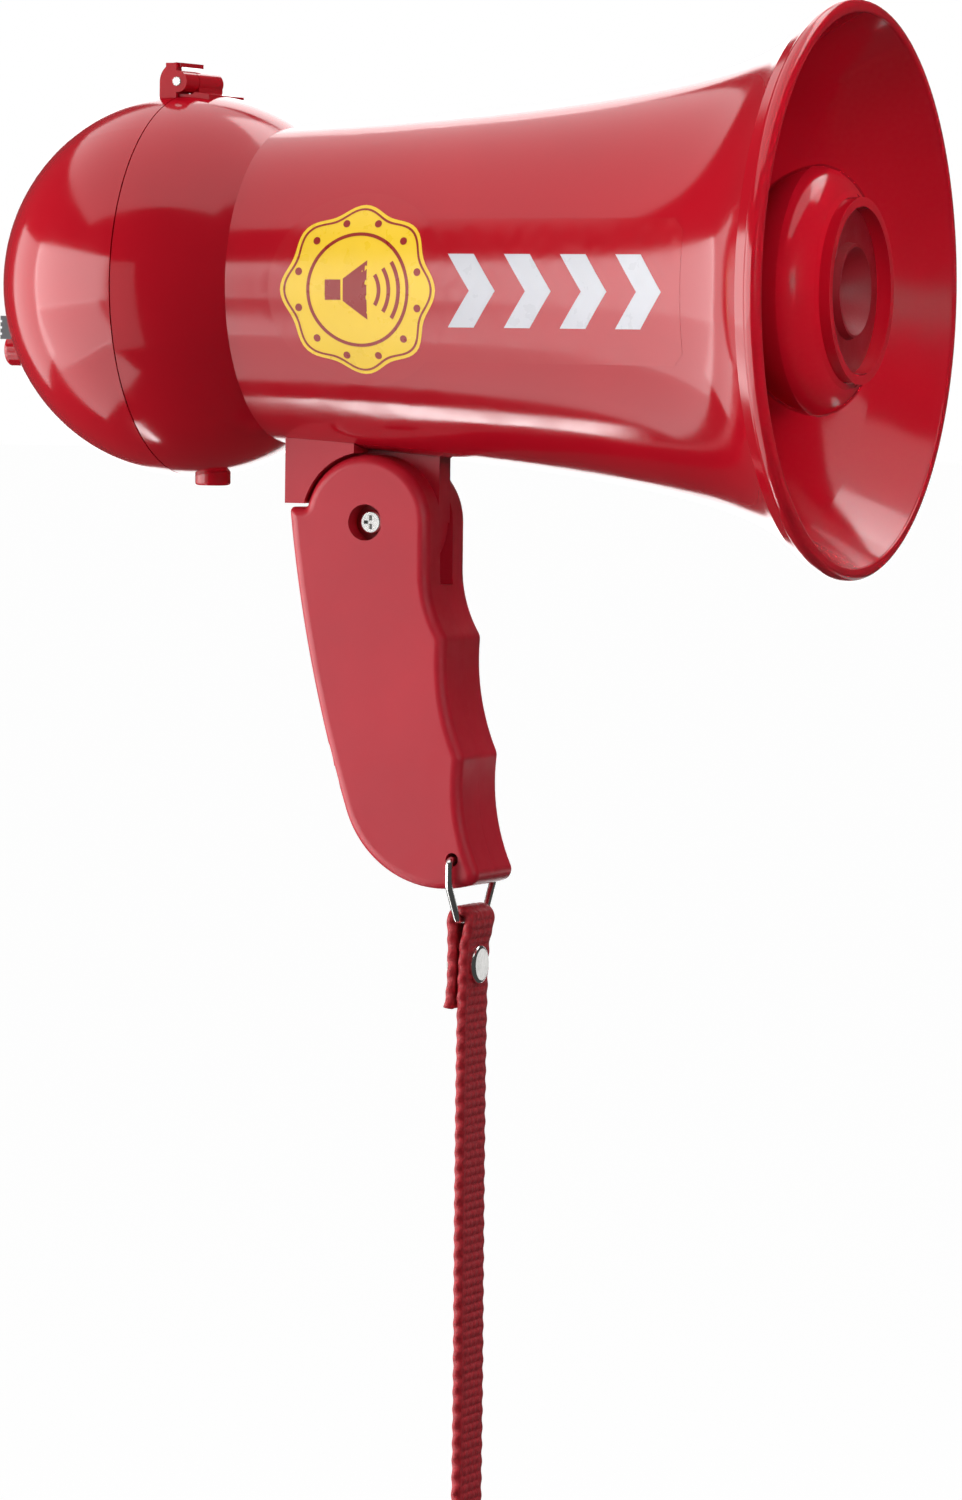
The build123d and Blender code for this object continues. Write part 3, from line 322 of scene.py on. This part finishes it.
def smooth_route(route):
    """Points read from the NURBS spline through the route's control points."""
    data = bpy.data.curves.new("strap_line", "CURVE")
    data.dimensions = "3D"
    data.resolution_u = 24
    spline = data.splines.new("NURBS")
    spline.points.add(len(route) - 1)
    for point, (x, z) in zip(spline.points, route):
        point.co = (x, 0.0, z, 1.0)
    spline.order_u = 3
    spline.use_endpoint_u = True
    line = bpy.data.objects.new("strap_line", data)
    mesh = bpy.data.meshes.new_from_object(line)
    points = [vertex.co.copy() for vertex in mesh.vertices]
    bpy.data.objects.remove(line)
    bpy.data.meshes.remove(mesh)
    return points


def even_steps(points, step):
    """(place, tangent, distance) at even steps along a line of points."""
    places = []
    travelled = 0.0
    wanted = 0.0
    for a, b in zip(points, points[1:]):
        run = (b - a).length
        while wanted <= travelled + run and run > 0:
            places.append((a.lerp(b, (wanted - travelled) / run), (b - a).normalized(), wanted))
            wanted += step
        travelled += run
    return places


def web_section(distance):
    """Cross-section of the webbing as (across, out) pairs: ribbed faces and roped selvedges."""
    half_width = STRAP_WIDTH / 2 - 0.00015 + SCALLOP_DEPTH * sin(2 * pi * distance / SCALLOP_PITCH)
    half_thick = STRAP_THICK / 2 - RIB_HEIGHT
    rib = RIB_HEIGHT * abs(sin(pi * distance / RIB_PITCH)) ** 0.6
    shape = []
    for side in (1, -1):
        for i in range(FACE_COLUMNS):
            share = 1 - 2 * i / (FACE_COLUMNS - 1)
            across = side * share * (half_width - half_thick)
            row_shift = pi * floor(distance / RIB_PITCH)
            yarn = YARN_HEIGHT * cos(2 * pi * across / YARN_PITCH + row_shift)
            edge = min(1.0, (1 - abs(share)) * 4)
            lift = half_thick + edge * (rib + yarn) + (1 - edge) * 0.0002
            shape.append((across, side * lift))
        for i in range(1, EDGE_COLUMNS):
            angle = pi / 2 - pi * i / EDGE_COLUMNS
            twist = sin(2 * pi * distance / SCALLOP_PITCH + side * 2.2 * angle)
            radius = half_thick + 0.00032 + 0.00014 * twist
            shape.append((-side * (half_width - half_thick + radius * cos(angle)),
                          side * radius * sin(angle)))
    return shape


def build_strap():
    line = smooth_route(STRAP_ROUTE)
    points = []
    rings = even_steps(line, RING_STEP)
    for place, tangent, distance in rings:
        out = tangent.cross(Vector((0, 1, 0))).normalized()
        section = web_section(distance)
        columns = len(section)
        for across, lift in section:
            points.append(place + Vector((0, across, 0)) + out * lift)
    faces = grid_faces(len(rings), columns, wrap=True)
    faces.append(tuple(reversed(range(columns))))
    last = (len(rings) - 1) * columns
    faces.append(tuple(range(last, last + columns)))
    strap = add_mesh("strap_ribbed_webbing", points, faces, finishes["webbing"], "strap")
    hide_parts("strap_webbing")


build_strap()


# ---------------------------------------------------------------- label on the horn
NECK_RADIUS, MOUTH_RADIUS, HORN_LENGTH = 35.0, 62.5, 134.6
FLARE_LONG, FLARE_LONG_DECAY, FLARE_SHORT_DECAY, FLARE_OVERSHOOT = 23.2, 71.8, 10.2, 5.54
FLARE_BASE = NECK_RADIUS - FLARE_LONG * exp(-HORN_LENGTH / FLARE_LONG_DECAY)
FLARE_SHORT = MOUTH_RADIUS + FLARE_OVERSHOOT - FLARE_BASE - FLARE_LONG

LABEL_X, LABEL_ARC = -102.0, -1.1               # badge centre: along the axis, and round from level, mm
BADGE_SIZE = 19.0
FILM_RADIUS = 22.0
BAND_END = -22.2
BAND_HALF = 15.8
BAND_CORNER = 2.5
MARKS_START, MARKS_END, MARKS_HALF = -80.2, -25.2, 7.9
MARKS_COUNT = 4
DOTS_COUNT = 12
DOT_RADIUS = 0.85
FILM_LIFT, BAND_LIFT, PRINT_LIFT, INK_LIFT = 0.02, 0.022, 0.055, 0.085     # mm off the horn
FILM_THICK, PRINT_THICK = 0.025, 0.02


def horn_radius(x):
    """Outside radius of the horn at x mm from the mouth plane."""
    return FLARE_BASE + FLARE_LONG * exp(x / FLARE_LONG_DECAY) + FLARE_SHORT * exp(x / FLARE_SHORT_DECAY)


def on_horn(x, arc, height):
    """Place on the horn's near side, at arc mm round from level and height mm off the surface."""
    radius = horn_radius(x)
    angle = arc / radius
    radius += height
    return MOUTH_CENTRE + Vector((x, -radius * cos(angle), radius * sin(angle))) * MM


def patch(name, rows, material, height, thick=PRINT_THICK):
    """Thin printed shape laid on the horn, from rows of (x, arc) places in mm."""
    columns = len(rows[0])
    points = [on_horn(x, arc, height) for row in rows for x, arc in row]
    piece = add_mesh(name, points, grid_faces(len(rows), columns), material, "housing")
    body = bmesh.new()
    body.from_mesh(piece.data)
    bmesh.ops.remove_doubles(body, verts=body.verts, dist=0.000002)
    bmesh.ops.recalc_face_normals(body, faces=body.faces)
    body.faces.ensure_lookup_table()
    if body.faces[0].normal.y > 0:
        bmesh.ops.reverse_faces(body, faces=body.faces)
    body.to_mesh(piece.data)
    body.free()
    solid = piece.modifiers.new("thickness", "SOLIDIFY")
    solid.thickness = thick * MM
    solid.offset = 1.0
    crisp = piece.modifiers.new("crisp_edge", "EDGE_SPLIT")
    crisp.split_angle = radians(40)


def ring_rows(centre, inner, outer, rows, columns=97, start=0.0, turn=2 * pi):
    """Rows between two outlines given as radius functions of the angle."""
    cx, cy = centre
    grid = []
    for i in range(rows):
        share = i / (rows - 1)
        row = []
        for j in range(columns):
            angle = start + turn * j / (columns - 1)
            radius = inner(angle) * (1 - share) + outer(angle) * share
            row.append((cx + radius * cos(angle), cy + radius * sin(angle)))
        grid.append(row)
    return grid


def quad_rows(a, b, c, d, rows=5, columns=9):
    """Rows over a four-cornered shape; a to b is its first side and d to c its opposite one."""
    def between(p, q, t):
        return (p[0] + (q[0] - p[0]) * t, p[1] + (q[1] - p[1]) * t)
    grid = []
    for i in range(rows):
        left, right = between(a, d, i / (rows - 1)), between(b, c, i / (rows - 1))
        grid.append([between(left, right, j / (columns - 1)) for j in range(columns)])
    return grid


def print_finish(name, base, roughness):
    finish = Finish(name, base, roughness)
    finish.vary_colour(finish.noise(12.0, 3.0), 0.96, 1.03)
    finish.vary_roughness(finish.noise(3.0, 3.0), roughness - 0.05, roughness + 0.05)
    return finish.bump(finish.noise(8.0, 2.0), 0.01).material


def shield(angle):
    """Badge outline with eight shallow lobes."""
    return BADGE_SIZE * (0.955 + 0.045 * cos(8 * angle))


def even(radius):
    """A circle's outline, for ring_rows."""
    return lambda angle: radius


def band_rows():
    """Clear band from the film disc's edge, with two rounded corners at its far end."""
    start = LABEL_X + sqrt(FILM_RADIUS**2 - BAND_HALF**2) - 0.6
    rows = []
    for i in range(13):
        arc = BAND_HALF * (2 * i / 12 - 1)
        corner = max(0.0, abs(arc) - BAND_HALF + BAND_CORNER)
        end = BAND_END - (BAND_CORNER - sqrt(max(BAND_CORNER**2 - corner**2, 0.0)))
        first = max(LABEL_X + sqrt(max(FILM_RADIUS**2 - arc**2, 0.0)) - 0.5, start)
        rows.append([(first + (end - first) * j / 40, LABEL_ARC + arc) for j in range(41)])
    return rows


def icon_shapes(cx, cy):
    """A small horn with three arcs of sound."""
    shapes = [
        quad_rows((cx - 8.0, cy - 2.2), (cx - 4.2, cy - 2.2), (cx - 4.2, cy + 2.2), (cx - 8.0, cy + 2.2)),
        quad_rows((cx - 3.6, cy - 2.4), (cx + 2.2, cy - 6.4), (cx + 2.2, cy + 6.4), (cx - 3.6, cy + 2.4)),
    ]
    for radius in (5.6, 8.0, 10.4):
        shapes.append(ring_rows((cx - 0.4, cy), even(radius - 0.45), even(radius + 0.45),
                                rows=3, columns=21, start=-0.62, turn=1.24))
    return shapes


def add_chevrons(white):
    pitch = (MARKS_END - MARKS_START) / MARKS_COUNT
    width, lean = pitch * 0.46, pitch * 0.40
    for index in range(MARKS_COUNT):
        left = MARKS_START + index * pitch
        tip = left + lean
        for side, place in ((1, "upper"), (-1, "lower")):
            edge = LABEL_ARC + side * MARKS_HALF
            rows = quad_rows((tip, LABEL_ARC), (tip + width, LABEL_ARC), (left + width, edge), (left, edge))
            patch(f"label_chevron_{index}_{place}", rows, white, PRINT_LIFT)


def build_label():
    film = print_finish("label_film", [0.43, 0.007, 0.015, 1.0], 0.16)
    yellow = print_finish("label_yellow", colour(242, 200, 44), 0.3)
    ink = print_finish("label_ink", colour(150, 26, 24), 0.3)
    white = print_finish("label_white", colour(200, 200, 206), 0.3)
    centre = cx, cy = LABEL_X, LABEL_ARC
    film_disc = ring_rows(centre, even(0.0), even(FILM_RADIUS), rows=14)
    patch("label_film_disc", film_disc, film, FILM_LIFT, FILM_THICK)
    patch("label_film_band", band_rows(), film, BAND_LIFT, FILM_THICK)
    patch("label_badge", ring_rows(centre, even(0.0), shield, rows=14), yellow, PRINT_LIFT)
    line = ring_rows(centre, lambda a: shield(a) - 1.3, lambda a: shield(a) - 0.8, rows=2, columns=193)
    patch("label_badge_line", line, ink, INK_LIFT)
    ring = ring_rows(centre, even(0.62 * BADGE_SIZE), even(0.66 * BADGE_SIZE), rows=2)
    patch("label_badge_ring", ring, ink, INK_LIFT)
    for index, rows in enumerate(icon_shapes(cx, cy)):
        patch(f"label_icon_{index}", rows, ink, INK_LIFT)
    for index in range(DOTS_COUNT):
        angle = 2 * pi * (index + 0.5) / DOTS_COUNT
        place = (cx + 0.79 * BADGE_SIZE * cos(angle), cy + 0.79 * BADGE_SIZE * sin(angle))
        dot = ring_rows(place, even(0.0), even(DOT_RADIUS), rows=3, columns=17)
        patch(f"label_dot_{index}", dot, ink, INK_LIFT)
    add_chevrons(white)


build_label()


# ---------------------------------------------------------------- springs given meshes of their own
def squash_springs():
    """Gives each spring a copy of its mesh of its own; their shapes stay as they are."""
    nodes = frame["nodes"]
    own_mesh(nodes["latch_spring"])
    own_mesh(nodes["button_spring"])


squash_springs()


# ---------------------------------------------------------------- studio
FLOOR_DROP = 0.6
FLOOR_HALF = 60.0
STUDIO_CENTRE = Vector((-0.01, 0.0, 0.09))
RIVET_PLACE = Vector((0.0195, 0.0, UPPER_RIVET))
STREAK_PLACE = Vector((0.0214, -0.026, 0.064))  # where the horn shows a thin bright line


def toward(azimuth, elevation):
    """Direction at degrees round from -Y towards +X, and degrees up."""
    turn, rise = radians(azimuth), radians(elevation)
    return Vector((sin(turn) * cos(rise), -cos(turn) * cos(rise), sin(rise)))


def add_softbox(name, azimuth, elevation, distance, width, height, radiance,
                centre=STUDIO_CENTRE, mirrored=True):
    """Rectangular light that faces centre; radiance 1 looks as bright as the white backdrop.

    mirrored False hides it from glossy reflections."""
    data = bpy.data.lights.new(name, "AREA")
    data.shape = "RECTANGLE"
    data.size = width
    data.size_y = height
    data.energy = radiance * pi * width * height
    light = bpy.data.objects.new(name, data)
    scene.collection.objects.link(light)
    light.location = centre + toward(azimuth, elevation) * distance
    light.rotation_mode = "QUATERNION"
    light.rotation_quaternion = (-toward(azimuth, elevation)).to_track_quat("-Z", "Y")
    light.visible_camera = False
    light.visible_glossy = mirrored
    return light


def add_world(fill):
    """White to the camera, and a dim fill for everything that the softboxes don't cover."""
    world = bpy.data.worlds.new("studio")
    scene.world = world
    world.use_nodes = True
    tree = world.node_tree
    backdrop = tree.nodes["Background"]
    dim = tree.nodes.new("ShaderNodeBackground")
    for node, strength in ((backdrop, 1.0), (dim, fill)):
        node.inputs["Color"].default_value = (1, 1, 1, 1)
        node.inputs["Strength"].default_value = strength
    path = tree.nodes.new("ShaderNodeLightPath")
    mix = tree.nodes.new("ShaderNodeMixShader")
    tree.links.new(path.outputs["Is Camera Ray"], mix.inputs["Fac"])
    tree.links.new(dim.outputs["Background"], mix.inputs[1])
    tree.links.new(backdrop.outputs["Background"], mix.inputs[2])
    tree.links.new(mix.outputs["Shader"], tree.nodes["World Output"].inputs["Surface"])


def add_floor():
    low = cad_box[0][2] - FLOOR_DROP
    finish = Finish("floor", [0.2, 0.2, 0.2, 1.0], 0.9)
    finish.shader.inputs["Emission Color"].default_value = (1, 1, 1, 1)
    finish.shader.inputs["Emission Strength"].default_value = 0.97
    mesh = bpy.data.meshes.new("floor")
    corners = [(x * FLOOR_HALF, y * FLOOR_HALF, low) for x, y in ((-1, -1), (1, -1), (1, 1), (-1, 1))]
    mesh.from_pydata(corners, [], [(0, 1, 2, 3)])
    mesh.materials.append(finish.material)
    floor_piece = bpy.data.objects.new("floor", mesh)
    scene.collection.objects.link(floor_piece)
    floor_piece.visible_glossy = False
    floor_piece.visible_diffuse = False


def add_studio():
    add_world(0.06)
    add_floor()
    add_softbox("left_box_top", -58, 3, 1.1, 1.1, 0.47, 4.9)
    add_softbox("left_box_middle", -60, -20.6, 1.1, 1.05, 0.47, 3.6)
    add_softbox("left_box_low", -62, -44.2, 1.1, 1.0, 0.47, 2.0)
    add_softbox("left_box_right", -22, -12, 1.14, 0.42, 1.0, 0.8)
    add_softbox("left_wing", -97, -6, 1.14, 0.6, 0.8, 2.0)
    add_softbox("overhead_box", -90, 80, 1.25, 2.5, 2.5, 1.35)
    add_softbox("back_box", 150, 52, 1.8, 1.6, 0.7, 3.0)
    add_softbox("backdrop_box", -162, 6, 1.8, 1.0, 2.4, 2.6)
    add_softbox("floor_strip", -104.7, -57.9, 0.48, 0.12, 0.02, 14.0, STREAK_PLACE)
    add_softbox("strap_card", 157, -5, 0.35, 0.16, 0.05, 0.8, RIVET_PLACE)
    add_softbox("front_fill", 70, 12, 1.6, 1.0, 1.0, 3.0, mirrored=False)
    bowl = add_softbox("bowl_fill", 46, 6, 0.5, 0.12, 0.12, 0.95, MOUTH_CENTRE, mirrored=False)
    bowl.data.spread = radians(22)
    scene.view_settings.view_transform = "Standard"
    scene.view_settings.look = "None"


add_studio()
